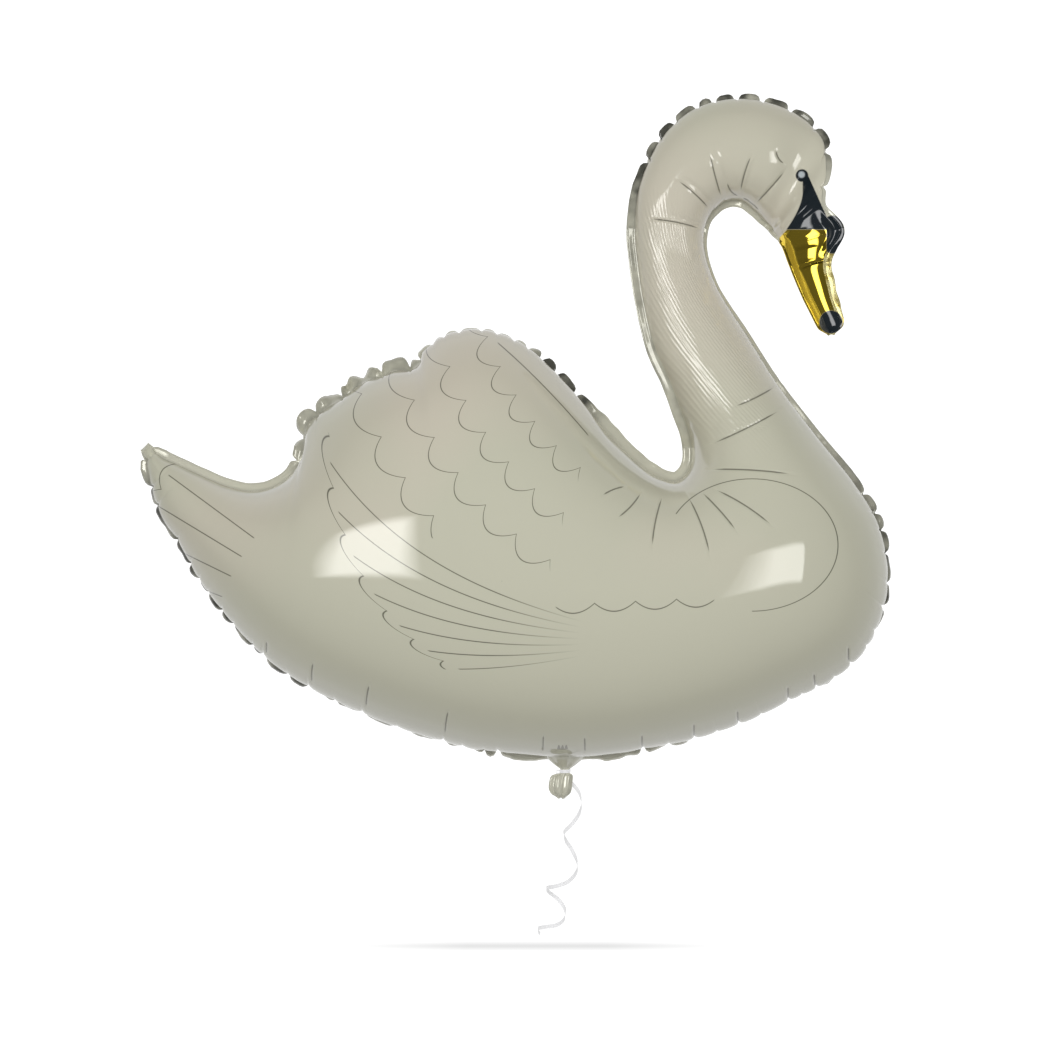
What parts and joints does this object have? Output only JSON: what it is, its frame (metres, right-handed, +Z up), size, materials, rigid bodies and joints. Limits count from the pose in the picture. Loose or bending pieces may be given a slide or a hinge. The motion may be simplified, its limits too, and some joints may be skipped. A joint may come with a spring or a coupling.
{
  "type": "swan foil balloon",
  "caption": "Filled foil balloon in the shape of a swimming swan, with printed feathers, a gold bill and a short curling ribbon tied round its filling neck.",
  "frame": {"origin": "middle of the ribbon's turns round the filling neck, where the ribbon holds the floating balloon", "axes": "+X towards the swan's breast and bill, +Z up, and the welded edge lies in the XZ plane"},
  "size_m": [0.7537, 0.265, 0.8424],
  "materials": {
    "foil_film": "metallised film, glossy warm grey with gold bill and blue-black mask",
    "curling_ribbon": "satin white"
  },
  "bodies": {
    "root": {"foil_envelope": "foil_film", "ribbon_tie": "curling_ribbon", "ribbon": "curling_ribbon"}
  },
  "joints": []
}
